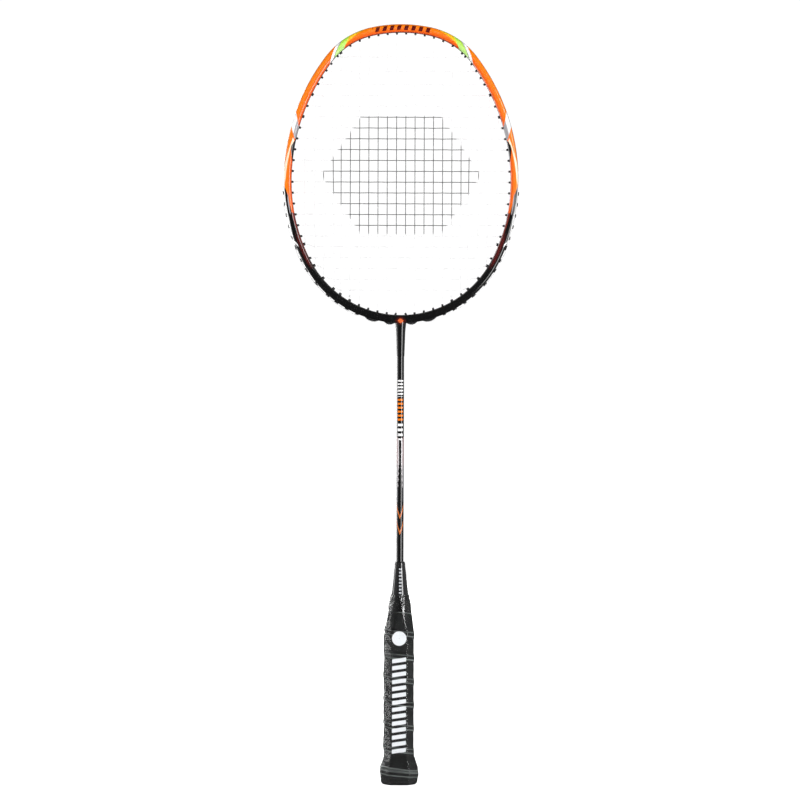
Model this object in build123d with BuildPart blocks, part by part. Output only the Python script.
"""Badminton racket: hoop and neck in one, glued shaft, cone, wooden handle, wrapped grip, woven strings.

X runs across the head, Y is square to the string bed and Z runs from the butt to the crown.
The origin is the centre of the butt's flat end. Lengths are millimetres.
"""

from math import acos, asin, atan2, cos, pi, radians, sin

from build123d import *

# ---- Driving dimensions ------------------------------------------------------------------------------
overall_length = 675.0

# Hoop: arcs of the outer outline from the crown down one side, as (radius, turn in degrees).
# The last arc, at the throat, closes on the centre line, so its radius follows from the others.
hoop_turns = ((126.0, 12.0), (70.0, 41.0), (183.0, 37.5), (161.0, 26.0))
hoop_thickness = 7.0        # in the plane of the strings
hoop_depth = 10.4           # square to the strings
hoop_edge_radius = 2.8
hoop_wall = 1.1
groove_width = 3.4          # string groove round the outside of the upper hoop
groove_depth = 1.3
groove_end = 529.6          # height at which the groove stops

# Neck: the socket below the hoop that takes the shaft.
neck_bottom = 380.0
neck_bottom_radius = 3.5
neck_waist = 401.0
neck_waist_radius = 4.2
neck_flare = (4.55, 405.2)  # radius and height halfway up the flare between the waist and the hoop
neck_flare_top = 408.5
neck_top_radius = 4.95
neck_buried = 3.0           # the neck's blank ends this far inside the hoop
neck_fillet = 1.0           # where the neck meets the hoop

shaft_radius = 3.25
shaft_bore = 2.25
shaft_bottom = 72.0
shaft_top = 400.0

# T joint: the core moulded inside the throat, with two arms in the hoop and a stem down the shaft
joint_arm = 24.0            # half length of the arms
joint_gap = 0.05
stem_radius = 2.2
stem_bottom = 362.0

# Strings
string_diameter = 0.70
string_gap = 0.12           # between a strand and the flanges that it passes over
main_pitch = 8.2
mains_per_side = 11
cross_pitch = 9.62
lowest_cross = 438.6
evenly_spaced_crosses = 19
upper_gaps = (9.8, 11.7, 12.7)          # the three crosses next to the crown stand wider apart
shared_offset = 0.37                    # two strings that share a hole lie side by side

# Grommets
nub_length = 1.8
mouth_chamfer = 0.35        # both ends of a bushing's bore are eased for the string
flange_radius = 1.65
sunk_flange = 0.5           # flange thickness in the groove
proud_flange = 0.8          # flange thickness where the hoop has no groove
proud_flange_edge = 0.55    # width of that flange beyond its barrel
barrel_radius = 1.1
barrel_bore = 0.65
wide_barrel_radius = 1.5
wide_barrel_bore = 0.95
tip_share = 0.78            # a nub narrows towards its mouth
pad_rise = 1.7              # height of the long pads beside the neck
pad_overhang = 2.0
pad_width = 3.4
hole_clearance = 0.03

# Handle
grip_half_width = 13.0      # half sizes over the film, in the plane of the strings and square to it
grip_half_depth = 11.8
grip_bevel = 5.9
grip_rounding = 2.2         # radius of the octagon's corners
bevel_loss = 0.59           # an octagon inset by 1 mm has a bevel shorter by this
grip_straight = (28.0, 134.7)           # lowest and highest level of the straight grip
grip_top = 151.6
# The taper above the straight grip: how its middle section swells and flattens, and how round it gets
taper_crown, taper_flatness, taper_bevel, taper_rounding = 0.25, 0.4, 0.53, 0.8
top_bevel_share, top_extra_rounding = 0.58, 0.5
butt_plate = 4.0            # thickness of the butt cap's plate
tape_thickness = 1.5
film_thickness = 0.15
film_top = 169.4
tape_top_radius = 10.8
core_radius = 10.3          # the round seat at the top of the wood, where the cone's skirt rests
nose_top = 166.0
nose_profile = ((9.0, 138.0), (8.0, 148.0), (4.2, nose_top))
cone_bottom = 138.0
cone_top = 197.4
cone_outline = ((4.75, 194.8), (5.55, 188.0), (6.3, 181.0), (7.8, 169.0), (8.7, 162.6), (9.75, 157.0),
                (core_radius, grip_top))         # radius and height, from under the lip down
cone_lip = ((4.55, 196.6), (4.0, cone_top))

# Half width and half depth of the butt's flare over the film, from its foot to the straight grip.
flare_levels = ((butt_plate, 15.9, 14.6), (9.5, 16.4, 15.1), (15.5, 15.85, 14.55), (21.5, 14.4, 13.15),
                (28.0, grip_half_width, grip_half_depth))

# Butt: the cap's spigot in the wood, and the badge in the cap's end
cap_spigot_radius = 6.0
cap_spigot_top = 16.0
cap_socket_top = 64.0       # the wood is hollow up to here
badge_radius = 9.0
badge_thickness = 0.8
badge_recess = 0.15
butt_edge_radius = 3.4

# Staple that holds the tape's first turn on the wood, at the back of the grip
staple_level = 33.0
staple_wire = 0.6
staple_width = 9.0
staple_leg = 5.0

string_radius = string_diameter / 2
outside = 30.0              # a length well past any wall, for cutting tools
upwards = (Align.CENTER, Align.CENTER, Align.MIN)


def save(piece, name):
    """Label a finished piece and write its STEP file."""
    piece.part.label = name
    export_step(piece.part, f"parts/{name}.step")
    print(f"{name}: {len(piece.solids())} solids, {piece.part.volume:.1f} mm3")


# ---- Hoop outline ------------------------------------------------------------------------------------
def outer_arcs():
    """Arcs of the outer outline on the +X side: (centre x, centre z, radius, first heading, last heading).

    A heading is the direction of the outward normal, turned from +Z towards +X, in radians.
    """
    arcs = []
    x, z, heading = 0.0, overall_length, 0.0
    for radius, turn in hoop_turns:
        centre_x, centre_z = x - radius * sin(heading), z - radius * cos(heading)
        arcs.append((centre_x, centre_z, radius, heading, heading + radians(turn)))
        heading += radians(turn)
        x, z = centre_x + radius * sin(heading), centre_z + radius * cos(heading)
    throat_radius = x / sin(heading)
    arcs.append((0.0, z - throat_radius * cos(heading), throat_radius, heading, pi))
    return arcs


arcs = outer_arcs()
hoop_bottom = arcs[-1][1] - arcs[-1][2]


def hoop_point(heading, inset):
    """Point (x, z) at a heading, inset from the outer outline."""
    for centre_x, centre_z, radius, first, last in arcs:
        if heading <= last + 1e-9:
            reach = radius - inset
            return centre_x + reach * sin(heading), centre_z + reach * cos(heading)
    raise ValueError("a heading runs from 0 at the crown to pi at the throat")


def heading_at_x(x, inset, below=False):
    """Heading at which the inset outline stands x from the centre line, above or below the widest place."""
    for centre_x, _, radius, first, last in arcs:
        share = (x - centre_x) / (radius - inset)
        if abs(share) > 1:
            continue
        heading = pi - asin(share) if below else asin(share)
        if first - 1e-9 <= heading <= last + 1e-9:
            return heading
    raise ValueError(f"the hoop is never {x} mm from its centre line")


def heading_at_z(z, inset):
    """Heading at which the inset outline stands at height z."""
    for _, centre_z, radius, first, last in arcs:
        share = (z - centre_z) / (radius - inset)
        if abs(share) <= 1 and first - 1e-9 <= acos(share) <= last + 1e-9:
            return acos(share)
    raise ValueError(f"the hoop doesn't reach height {z} mm")


def heading_of(x, z):
    """Heading of the outline nearest to a point on the +X side."""
    for centre_x, centre_z, _, first, last in arcs:
        heading = atan2(x - centre_x, z - centre_z) % (2 * pi)
        if first - 1e-9 <= heading <= last + 1e-9:
            return heading
    return pi


def hoop_area(inset):
    """The area inside the inset outline, for a sketch on Plane.XZ."""
    with BuildSketch() as area:
        with BuildLine():
            for _, _, _, first, last in arcs:
                middle = (first + last) / 2
                ThreePointArc(*(hoop_point(heading, inset) for heading in (first, middle, last)))
            mirror(about=Plane.YZ)
        make_face()
    return area.sketch


# ---- Where the strings go through the hoop -----------------------------------------------------------
main_places = [main_pitch * (k + 0.5) for k in range(mains_per_side)]
cross_places = [lowest_cross + cross_pitch * k for k in range(evenly_spaced_crosses)]
for gap in upper_gaps:
    cross_places.append(cross_places[-1] + gap)
cross_places.reverse()      # number 0 is next to the crown, number 21 next to the throat

# A hole near a corner serves the main and the cross that meet there: (kind, main number) to cross number.
shared_holes = {("top", 9): 3, ("top", 10): 5, ("bottom", 10): 17, ("bottom", 9): 19, ("bottom", 8): 20,
                ("bottom", 7): 21}
tie_off_main = 5            # the main strings end at this main's lower hole
cross_tie_mains = (6, 6)    # the cross strings end at this main's upper and lower holes, on the -X side
mouth_inset = hoop_thickness + nub_length
lean_limit = radians(12.0)
upright_holes = {("top", 7), ("top", 8), ("cross", 0), ("cross", 1)}    # these stand too close to lean
middle_lean = radians(16.0)             # the two holes beside the neck lean outwards to clear it


class StringHole:
    """One drilled hole, given on the +X side and mirrored for the other side by side = -1."""

    def __init__(self, kind, number, heading, string_heading, side):
        self.kind, self.number, self.side = kind, number, side
        self.mouth = hoop_point(heading, mouth_inset)
        lean = (string_heading - heading) / 2
        self.lean = 0.0 if (kind, number) in upright_holes else max(-lean_limit, min(lean_limit, lean))
        if kind == "bottom" and number == 0:
            self.lean = -middle_lean
        self.axis_heading = heading + self.lean
        self.shared = (kind, number) in shared_holes
        self.wide = self.shared or (kind, number) == ("bottom", tie_off_main) or (
            side < 0 and kind in ("top", "bottom") and number in cross_tie_mains)
        self.sunk = self.mouth[1] > groove_end
        self.seat_inset = groove_depth if self.sunk else 0.0
        self.length = (mouth_inset - self.seat_inset) / cos(self.lean)
        self.flange = sunk_flange if self.sunk else proud_flange
        end = self.at(self.length)
        self.seat_heading = heading_of(abs(end.X), end.Z)

    def at(self, distance, y=0.0):
        """Point on the hole's axis, at a distance outwards from the mouth."""
        x = self.mouth[0] + distance * sin(self.axis_heading)
        z = self.mouth[1] + distance * cos(self.axis_heading)
        return Vector(self.side * x, y, z)

    def axis(self):
        return Vector(self.side * sin(self.axis_heading), 0, cos(self.axis_heading))

    def along(self, distance):
        """Plane square to the hole's axis."""
        return Plane(origin=self.at(distance), x_dir=(0, 1, 0), z_dir=self.axis())

    def seat(self):
        """Plane tangent to the hoop where the flange rests."""
        normal = Vector(self.side * sin(self.seat_heading), 0, cos(self.seat_heading))
        return Plane(origin=self.at(self.length), x_dir=(0, 1, 0), z_dir=normal)

    def turn(self, y=0.0, rise=None):
        """Point outside the flange where the string turns to run along the hoop."""
        rise = self.flange if rise is None else rise
        return self.at(self.length + (rise + string_radius + string_gap) / cos(self.lean), y)


def string_hole(kind, number, side):
    """The hole of a main's top or bottom end, or of a cross's end."""
    if kind == "cross":
        for (main_kind, main_number), cross_number in shared_holes.items():
            if cross_number == number:
                return string_hole(main_kind, main_number, side)
        heading = heading_at_z(cross_places[number], mouth_inset)
        return StringHole(kind, number, heading, pi / 2, side)
    below = kind == "bottom"
    heading = heading_at_x(main_places[number], mouth_inset, below)
    if (kind, number) in shared_holes:
        cross_heading = heading_at_z(cross_places[shared_holes[kind, number]], mouth_inset)
        heading = (heading + cross_heading) / 2
        return StringHole(kind, number, heading, heading, side)
    return StringHole(kind, number, heading, pi if below else 0.0, side)


both_sides = (1, -1)
main_holes = [string_hole(kind, k, side) for kind in ("top", "bottom") for k in range(mains_per_side)
              for side in both_sides]
own_crosses = [k for k in range(len(cross_places)) if k not in shared_holes.values()]
cross_holes = [string_hole("cross", k, side) for k in own_crosses for side in both_sides]
all_holes = main_holes + cross_holes
print(f"{len(all_holes)} string holes, hoop bottom at {hoop_bottom:.2f} mm")


def drill(holes, reach):
    """Cut the string holes through the part that is being built."""
    for wide in (False, True):
        radius = (wide_barrel_radius if wide else barrel_radius) + hole_clearance
        places = [hole.along(hole.length / 2) for hole in holes if hole.wide is wide]
        if places:
            with Locations(*places):
                Cylinder(radius, reach, mode=Mode.SUBTRACT)


# ---- Hoop and neck -----------------------------------------------------------------------------------
def on_neck(edge):
    """Whether an edge above the flare lies on the neck's cylinder, with points all round it."""
    points = (edge @ 0.3, edge @ 0.8)
    distances = [abs(Vector(point.X, point.Y, 0).length - neck_top_radius) for point in points]
    return edge.center().Z > neck_flare_top and max(distances) < 0.01 and edge.geom_type != GeomType.LINE


with BuildPart() as hoop_cavity:
    with BuildSketch(Plane.XZ):
        add(hoop_area(groove_depth + hoop_wall))
        add(hoop_area(hoop_thickness - hoop_wall), mode=Mode.SUBTRACT)
    extrude(amount=hoop_depth / 2 - hoop_wall, both=True)

with BuildPart() as groove:
    with BuildSketch(Plane.XZ):
        add(hoop_area(-groove_depth))
        add(hoop_area(groove_depth), mode=Mode.SUBTRACT)
        with Locations((0, groove_end)):
            Rectangle(overall_length, overall_length, align=(Align.CENTER, Align.MIN), mode=Mode.INTERSECT)
    extrude(amount=groove_width / 2, both=True)

with BuildPart() as frame_hoop:
    with BuildSketch(Plane.XZ):
        add(hoop_area(0.0))
        add(hoop_area(hoop_thickness), mode=Mode.SUBTRACT)
    extrude(amount=hoop_depth / 2, both=True)
    flat_sides = frame_hoop.faces().filter_by(Axis.Y)
    fillet(flat_sides.edges(), radius=hoop_edge_radius)
    with BuildSketch(Plane.XZ):
        with BuildLine():
            neck_top = hoop_bottom + neck_buried
            Polyline((0, neck_top), (0, neck_bottom), (neck_bottom_radius, neck_bottom),
                     (neck_waist_radius, neck_waist))
            ThreePointArc((neck_waist_radius, neck_waist), neck_flare, (neck_top_radius, neck_flare_top))
            Polyline((neck_top_radius, neck_flare_top), (neck_top_radius, neck_top), (0, neck_top))
        make_face()
    revolve(axis=Axis.Z)
    fillet(frame_hoop.edges().filter_by(on_neck), neck_fillet)
    add(hoop_cavity.part, mode=Mode.SUBTRACT)
    add(groove.part, mode=Mode.SUBTRACT)
    with Locations((0, 0, neck_bottom)):
        Cylinder(shaft_radius, shaft_top - neck_bottom, align=upwards, mode=Mode.SUBTRACT)
        Cylinder(stem_radius + joint_gap, hoop_bottom + hoop_thickness / 2 - neck_bottom, align=upwards,
                 mode=Mode.SUBTRACT)
    drill(all_holes, outside)
save(frame_hoop, "frame_hoop")

# ---- T joint -----------------------------------------------------------------------------------------
with BuildPart() as t_joint_core:
    with BuildSketch(Plane.XZ):
        add(hoop_area(groove_depth + hoop_wall + joint_gap))
        add(hoop_area(hoop_thickness - hoop_wall - joint_gap), mode=Mode.SUBTRACT)
        with Locations((0, hoop_bottom)):
            Rectangle(2 * joint_arm, 2 * hoop_thickness, mode=Mode.INTERSECT)
    extrude(amount=hoop_depth / 2 - hoop_wall - joint_gap, both=True)
    drill(all_holes, outside)
    with Locations((0, 0, stem_bottom)):
        Cylinder(stem_radius, hoop_bottom + hoop_thickness / 2 - stem_bottom, align=upwards)
save(t_joint_core, "t_joint_core")

# ---- Shaft -------------------------------------------------------------------------------------------
with BuildPart() as shaft:
    with Locations((0, 0, shaft_bottom)):
        Cylinder(shaft_radius, shaft_top - shaft_bottom, align=upwards)
        Cylinder(shaft_bore, shaft_top - shaft_bottom, align=upwards, mode=Mode.SUBTRACT)
save(shaft, "shaft")

# ---- Handle ------------------------------------------------------------------------------------------
def octagon(level, half_width, half_depth, bevel, rounding):
    """Horizontal octagon with rounded corners."""
    with BuildSketch(Plane.XY.offset(level)) as outline:
        corner = Rectangle(2 * half_width, 2 * half_depth)
        chamfer(corner.vertices(), bevel)
        fillet(outline.vertices(), rounding)
    return outline.sketch


def flare_sections(inset):
    """Octagons of the flare, inset from the film's surface."""
    for level, half_width, half_depth in flare_levels:
        bevel = grip_bevel * half_width / grip_half_width
        yield octagon(level, half_width - inset, half_depth - inset, bevel - bevel_loss * inset,
                      grip_rounding)


def grip_octagon(level, inset):
    """Section of the straight grip."""
    return octagon(level, grip_half_width - inset, grip_half_depth - inset, grip_bevel - bevel_loss * inset,
                   grip_rounding)


def grip_form(inset, top_radius):
    """Flare, straight grip and the taper to a round top, inset from the film's surface."""
    low, high = grip_straight
    half = (top_radius + grip_half_width - inset) / 2 + taper_crown
    half_bevel, half_rounding = half * taper_bevel, grip_rounding + taper_rounding
    top_bevel, top_rounding = top_radius * top_bevel_share, half_rounding + top_extra_rounding
    with BuildPart() as form:
        loft(list(flare_sections(inset)))
        extrude(grip_octagon(low, inset), amount=high - low)
        loft([grip_octagon(high, inset),
              octagon((high + grip_top) / 2, half, half - taper_flatness, half_bevel, half_rounding),
              octagon(grip_top, top_radius, top_radius, top_bevel, top_rounding)])
    return form


def cone_profile(inset):
    """Outer profile of the cone and of the film's neck around it, from under the lip down."""
    return [(radius - inset, height) for radius, height in cone_outline]


film_and_tape = film_thickness + tape_thickness
core_blank = grip_form(film_and_tape, core_radius)

with BuildPart() as cone_blank:
    with BuildSketch(Plane.XZ):
        with BuildLine():
            Polyline((0, cone_top), (0, cone_bottom), (core_radius, cone_bottom),
                     *reversed(cone_profile(0.0)), *cone_lip, close=True)
        make_face()
    revolve(axis=Axis.Z)

with BuildPart() as nose:
    with BuildSketch(Plane.XZ):
        with BuildLine():
            Polyline((0, cone_bottom), *nose_profile, (0, nose_top), close=True)
        make_face()
    revolve(axis=Axis.Z)

with BuildPart() as grip_staple:
    wood_face = grip_half_depth - film_and_tape
    with Locations((0, wood_face, staple_level)):
        Box(staple_width, staple_wire, staple_wire, align=(Align.CENTER, Align.MIN, Align.CENTER))
    for side in both_sides:
        with Locations((side * (staple_width - staple_wire) / 2, wood_face + staple_wire, staple_level)):
            Box(staple_wire, staple_leg + staple_wire, staple_wire,
                align=(Align.CENTER, Align.MAX, Align.CENTER))
save(grip_staple, "grip_staple")

with BuildPart() as handle_core:
    add(core_blank.part)
    with Locations((0, 0, cone_bottom)):
        Cylinder(outside, outside, align=upwards, mode=Mode.SUBTRACT)
    add(nose.part)
    with Locations((0, 0, shaft_bottom)):
        Cylinder(shaft_radius, overall_length, align=upwards, mode=Mode.SUBTRACT)
    with Locations((0, 0, butt_plate)):
        Cylinder(cap_spigot_radius, cap_socket_top - butt_plate, align=upwards, mode=Mode.SUBTRACT)
    add(grip_staple.part, mode=Mode.SUBTRACT)
save(handle_core, "handle_core")

with BuildPart() as cone_cap:
    add(cone_blank.part)
    add(nose.part, mode=Mode.SUBTRACT)
    with Locations((0, 0, cone_bottom)):
        Cylinder(shaft_radius, overall_length, align=upwards, mode=Mode.SUBTRACT)
save(cone_cap, "cone_cap")

# ---- Wrapped grip, clear film and butt cap -----------------------------------------------------------
tape_form = grip_form(film_thickness, tape_top_radius)
with BuildPart() as grip_tape:
    add(tape_form.part)
    add(core_blank.part, mode=Mode.SUBTRACT)
    add(cone_blank.part, mode=Mode.SUBTRACT)
    add(grip_staple.part, mode=Mode.SUBTRACT)
save(grip_tape, "grip_tape")

with BuildPart() as grip_film:
    add(grip_form(0.0, tape_top_radius + film_thickness).part)
    with BuildSketch(Plane.XZ):
        with BuildLine():
            neck = [(r, z) for r, z in cone_profile(-film_thickness) if grip_top < z <= film_top]
            neck.append((tape_top_radius + film_thickness, grip_top))
            Polyline((0, film_top), *neck, (0, grip_top), close=True)
        make_face()
    revolve(axis=Axis.Z)
    add(tape_form.part, mode=Mode.SUBTRACT)
    add(cone_blank.part, mode=Mode.SUBTRACT)
save(grip_film, "grip_film")

with BuildPart() as butt_cap:
    _, foot_width, foot_depth = flare_levels[0]
    extrude(octagon(0.0, foot_width, foot_depth, grip_bevel * foot_width / grip_half_width, grip_rounding),
            amount=butt_plate)
    fillet(butt_cap.faces().sort_by(Axis.Z)[0].edges(), butt_edge_radius)
    with Locations((0, 0, butt_plate)):
        Cylinder(cap_spigot_radius, cap_spigot_top - butt_plate, align=upwards)
    Cylinder(badge_radius, badge_thickness, align=upwards, mode=Mode.SUBTRACT)
save(butt_cap, "butt_cap")

with BuildPart() as butt_badge:
    with Locations((0, 0, badge_recess)):
        Cylinder(badge_radius, badge_thickness - badge_recess, align=upwards)
save(butt_badge, "butt_badge")

# ---- Grommets ----------------------------------------------------------------------------------------
def bushing(hole, flanged=True):
    """Barrel, tapered nub and flange of one hole, added to the part being built."""
    radius = wide_barrel_radius if hole.wide else barrel_radius
    nub = nub_length / cos(hole.lean)
    with Locations(hole.along(0)):
        Cone(tip_share * radius, radius, nub, align=upwards)
    with Locations(hole.along(nub)):
        Cylinder(radius, hole.length - nub, align=upwards)
    if flanged:
        with Locations(hole.seat()):
            Cylinder(flange_radius if hole.sunk else radius + proud_flange_edge, hole.flange, align=upwards)


def bore(holes, rises=None):
    """Clear the string's way through each hole, with eased edges at the mouth and at the flange."""
    for k, hole in enumerate(holes):
        radius = wide_barrel_bore if hole.wide else barrel_bore
        rise = rises[k] if rises else hole.flange
        with Locations(hole.along(hole.length / 2)):
            Cylinder(radius, outside, mode=Mode.SUBTRACT)
        with Locations(hole.along(0)):
            Cone(radius + mouth_chamfer / 2, radius, mouth_chamfer, align=upwards, mode=Mode.SUBTRACT)
        with Locations(hole.along(hole.length + rise - mouth_chamfer)):
            Cone(radius, radius + 2 * mouth_chamfer, 2 * mouth_chamfer, align=upwards, mode=Mode.SUBTRACT)


def select(*keys, sides=both_sides):
    return [hole for hole in all_holes if (hole.kind, hole.number) in keys and hole.side in sides]


def tops(*numbers):
    return [("top", number) for number in numbers]


def bottoms(*numbers):
    return [("bottom", number) for number in numbers]


def crosses(*numbers):
    return [("cross", number) for number in numbers]


grommet_sets = {
    "crown_grommets": select(*tops(*range(7))),
    "tie_off_grommets": select(*bottoms(5)),
    "lower_grommets": select(*bottoms(4)),
}
for side, word in ((-1, "left"), (1, "right")):
    one = (side,)
    grommet_sets[f"shoulder_grommets_{word}"] = select(*tops(7, 8, 9, 10), *crosses(0, 1, 2, 4), sides=one)
    grommet_sets[f"upper_side_grommets_{word}"] = select(*crosses(*range(6, 12)), sides=one)
    grommet_sets[f"lower_side_grommets_{word}"] = select(*crosses(12, 13, 14, 15, 16, 18), *bottoms(10),
                                                         sides=one)
    grommet_sets[f"corner_grommets_{word}"] = select(*bottoms(6, 7, 8, 9), sides=one)

for name, holes in grommet_sets.items():
    with BuildPart() as grommets:
        for hole in holes:
            bushing(hole)
        bore(holes)
    save(grommets, name)


def pad_headings(pair):
    """Headings of a long pad's two tips."""
    low, high = sorted(hole.seat_heading for hole in pair)
    overhang = pad_overhang / arcs[-1][2]
    return low - overhang, high + overhang


def pad_rise_at(hole, pair):
    """Height of a long pad's surface over the hoop at one of its two holes."""
    first, last = pad_headings(pair)
    share = (2 * hole.seat_heading - first - last) / (last - first)
    return pad_rise * (1 - share ** 2)


def throat_pad(pair):
    """Lens-shaped strip that joins two bushings beside the neck."""
    side = pair[0].side
    first, last = pad_headings(pair)
    middle = (first + last) / 2

    def spot(heading, inset):
        x, z = hoop_point(heading, inset)
        return side * x, z

    with BuildPart() as pad:
        with BuildSketch(Plane.XZ):
            with BuildLine():
                ThreePointArc(spot(first, 0), spot(middle, -pad_rise), spot(last, 0))
                ThreePointArc(spot(last, 0), spot(middle, 0), spot(first, 0))
            make_face()
        extrude(amount=pad_width / 2, both=True)
        for hole in pair:
            bushing(hole, flanged=False)
        bore(pair, [pad_rise_at(hole, pair) for hole in pair])
    return pad


pads = {}
for side, word in ((-1, "left"), (1, "right")):
    pads[f"inner_throat_pad_{word}"] = select(*bottoms(0, 1), sides=(side,))
    pads[f"outer_throat_pad_{word}"] = select(*bottoms(2, 3), sides=(side,))
for name, pair in pads.items():
    save(throat_pad(pair), name)

# ---- Strings -----------------------------------------------------------------------------------------
turn_radius = 0.7           # over a flange's edge
mouth_radius = 1.5
side_radius = 4.0           # where a strand steps sideways on its way round the hoop
pad_step = 0.34             # a strand over a long pad has points at the middle and this share either side
weave_radius = 6.0
weave_end_radius = 4.0      # at the crossings next to the hoop
weave_height = 0.85         # the arcs pass inside the corners, so each crossing clears by string_diameter
passing_offset = 0.8        # strands that pass over another string's hole keep this far from the middle
tie_offsets = (0.9, 1.15)
parting = 5.0               # length over which a string leaves the middle for its side of a shared hole
crossing_margin = 2.2
knot_reach = 0.80           # the end winds round its main on an octagon whose corners stand this far out
knot_start = 1.5            # distance of the first corner from the mouth
knot_steps = (0.5, 0.3, 0.15) + (0.1,) * 11     # how far each corner stands beyond the last
knot_radius = 0.68
least_turn = 0.5            # degrees; a point that turns the route by less is left out

hole_at = {(hole.kind, hole.number, hole.side): hole for hole in all_holes}


def cross_hole(number, side):
    for key, cross_number in shared_holes.items():
        if cross_number == number:
            return hole_at[(*key, side)]
    return hole_at["cross", number, side]


def main_offset(hole):
    """Y of the main string in its hole."""
    if (hole.kind, hole.number) == ("bottom", tie_off_main):
        return -shared_offset
    return shared_offset if hole.wide else 0.0


def cross_offset(hole):
    return -shared_offset if hole.wide else 0.0


def inward(hole, target, y):
    """Point a short way from a hole's mouth towards a target, where the string is back in the middle."""
    step = (Vector(target.X, 0, target.Z) - hole.at(0)).normalized() * parting
    return hole.at(0) + step + Vector(0, y, 0)


def main_line(side, number):
    """The straight middle stretch of a main, as its lower and upper points."""
    low, high = hole_at["bottom", number, side], hole_at["top", number, side]
    return inward(low, high.at(0), 0.0), inward(high, low.at(0), 0.0)


def main_x(side, number, z):
    low, high = main_line(side, number)
    return low.X + (high.X - low.X) * (z - low.Z) / (high.Z - low.Z)


def hole_ends(hole, y, rise=None):
    """Route through a hole from outside to inside."""
    return [(hole.turn(y, rise), turn_radius), (hole.at(0, y), mouth_radius)]


def joined(route):
    """Sweep the string's section along straight runs joined by tangent arcs, one polyline per list."""
    with BuildLine() as path:
        start = None
        for stretch in route:
            points = [point for point, _ in stretch]
            if start is not None:
                points = [start] + points
                stretch = [(start, 0)] + stretch
            kept = [0]
            for k in range(1, len(points) - 1):
                before, after = points[k] - points[kept[-1]], points[k + 1] - points[k]
                if before.get_angle(after) > least_turn:
                    kept.append(k)
            kept.append(len(points) - 1)
            FilletPolyline(*[points[k] for k in kept], radius=[stretch[k][1] for k in kept[1:-1]])
            start = points[-1]
    return path


# Main string: up and down from the tie-off on one side to the tie-off on the other.
mains = [(-1, k) for k in reversed(range(mains_per_side))] + [(1, k) for k in range(mains_per_side)]


def tie_strand(side):
    """Main string's end outside the lower hoop, from the last main's hole back to the tie-off's mouth."""
    last = hole_at["bottom", mains_per_side - 1, side]
    passed = [(hole_at["cross", 18, side], tie_offsets[0])]
    passed += [(hole_at["bottom", number, side], tie_offsets[1]) for number in (9, 8, 7, 6)]
    tie = hole_at["bottom", tie_off_main, side]
    strand = [(last.at(0, main_offset(last)), mouth_radius), (last.turn(main_offset(last)), turn_radius)]
    strand += [(hole.turn(y), side_radius) for hole, y in passed]
    strand += hole_ends(tie, shared_offset)
    return strand + knot(side, tie_off_main, "bottom", 1)


def knot_centre(side, number, end, distance):
    """Point on a main's centre line, a distance inwards from its mouth."""
    hole = hole_at[end, number, side]
    low, high = main_line(side, number)
    inner = low if end == "bottom" else high
    mouth = hole.at(0, main_offset(hole))
    return mouth + (inner - mouth).normalized() * distance


def knot(side, number, end, y_sign):
    """Corners of the turns that a string's end makes round a main, beside the main's hole."""
    distance = knot_start
    axis = knot_centre(side, number, end, knot_start) - knot_centre(side, number, end, 0.0)
    across = axis.cross(Vector(0, 1, 0)).normalized()
    corners = []
    for k, step in enumerate((0.0,) + knot_steps):
        distance += step
        angle = k * pi / 4
        offset = Vector(0, y_sign * cos(angle), 0) + across * sin(angle)
        corners.append((knot_centre(side, number, end, distance) + offset * knot_reach, knot_radius))
    return corners


def main_loop(end, before, after):
    """Strand outside the hoop between two neighbouring mains."""
    first, last = hole_at[(end, before[1], before[0])], hole_at[(end, after[1], after[0])]
    numbers = {before[1], after[1]}
    pair = [first, last]
    on_pad = end == "bottom" and numbers in ({0, 1}, {2, 3})
    rises = [pad_rise_at(hole, pair) for hole in pair] if on_pad else [None, None]
    strand = list(reversed(hole_ends(first, main_offset(first), rises[0])))
    if on_pad:
        tips = pad_headings(pair)
        middle, half = sum(tips) / 2, (tips[1] - tips[0]) / 2
        ahead = 1 if last.seat_heading > first.seat_heading else -1
        for share in (-pad_step * ahead, 0, pad_step * ahead):
            inset = -pad_rise * (1 - share ** 2) - string_radius - string_gap
            x, z = hoop_point(middle + share * half, inset)
            strand.append((Vector(first.side * x, 0, z), side_radius))
    passed = {frozenset({9, 10}): 4, frozenset({7, 8}): 1}.get(frozenset(numbers)) if end == "top" else None
    if passed is not None:
        strand.append((hole_at["cross", passed, first.side].turn(passing_offset), side_radius))
    return strand + hole_ends(last, main_offset(last), rises[1])


route = [list(reversed(tie_strand(-1)))]
for k, (side, number) in enumerate(mains):
    low, high = main_line(side, number)
    start, finish = (low, high) if k % 2 == 0 else (high, low)
    route[-1] += [(start, weave_radius), ((start + finish) / 2, 0)]
    route.append([(finish, weave_radius)])
    if k < len(mains) - 1:
        route[-1] += main_loop("top" if k % 2 == 0 else "bottom", (side, number), mains[k + 1])
route[-1] += tie_strand(1)
main_path = joined(route)

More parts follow.
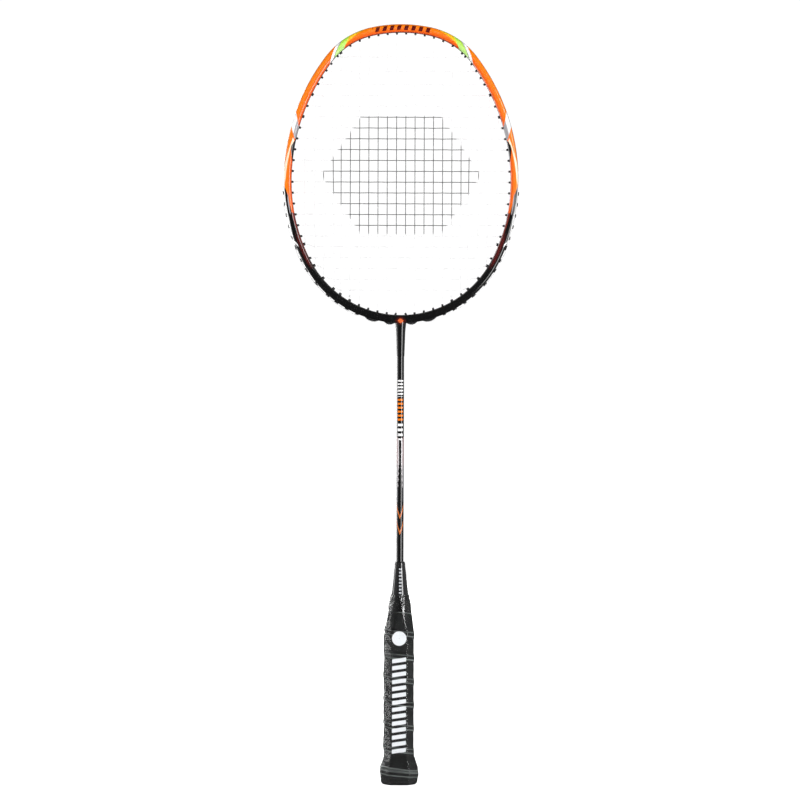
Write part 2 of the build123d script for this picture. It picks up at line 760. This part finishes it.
with BuildPart() as main_string:
    with BuildSketch(Plane(origin=main_path.line @ 0, z_dir=main_path.line % 0)):
        Circle(string_radius)
    sweep(path=main_path.line)
save(main_string, "main_string")
main_length = main_path.wire().length
string_section = pi * string_radius ** 2
print(f"main string {main_length:.0f} mm long, {string_section * main_length:.1f} mm3")


# Cross string: to and fro from the crown to the throat, over and under the mains.
def crossings(number):
    """Corners of one cross's weave from -X to +X."""
    height = cross_places[number]
    reach = min(abs(cross_hole(number, side).at(0).X) for side in both_sides) - crossing_margin
    corners = []
    for k, (side, main_number) in enumerate(mains):
        x = main_x(side, main_number, height)
        if abs(x) < reach:
            over = 1 if (k + number) % 2 == 0 else -1
            corners.append([Vector(x, over * weave_height, height), weave_radius])
    corners[0][1] = corners[-1][1] = weave_end_radius
    return [tuple(corner) for corner in corners]


def cross_loop(number, side):
    """Strand outside the hoop from one cross to the next."""
    first, last = cross_hole(number, side), cross_hole(number + 1, side)
    strand = list(reversed(hole_ends(first, cross_offset(first))))
    passed = {0: ("top", 7), 1: ("top", 8)}.get(number)
    if passed:
        strand.append((hole_at[(*passed, side)].turn(-passing_offset), side_radius))
    return strand + hole_ends(last, cross_offset(last))


def cross_tie(number, end):
    """The cross string's end, from its own hole to the tie-off main's hole beside it and to its knot."""
    first, last = cross_hole(number, -1), hole_at[end, cross_tie_mains[0], -1]
    strand = list(reversed(hole_ends(first, cross_offset(first)))) + hole_ends(last, -shared_offset)
    return strand + knot(-1, cross_tie_mains[0], end, -1)


route = [list(reversed(cross_tie(0, "top")))]
last_cross = len(cross_places) - 1
for number in range(len(cross_places)):
    corners = crossings(number)
    half = len(corners) // 2
    if number % 2:
        corners.reverse()
    route[-1] += corners[:half] + [((corners[half - 1][0] + corners[half][0]) / 2, 0)]
    route.append(corners[half:])
    if number < last_cross:
        route[-1] += cross_loop(number, -1 if number % 2 else 1)
route[-1] += cross_tie(last_cross, "bottom")
cross_path = joined(route)

with BuildPart() as cross_string:
    with BuildSketch(Plane(origin=cross_path.line @ 0, z_dir=cross_path.line % 0)):
        Circle(string_radius)
    sweep(path=cross_path.line)
save(cross_string, "cross_string")
cross_length = cross_path.wire().length
print(f"cross string {cross_length:.0f} mm long, {string_section * cross_length:.1f} mm3")
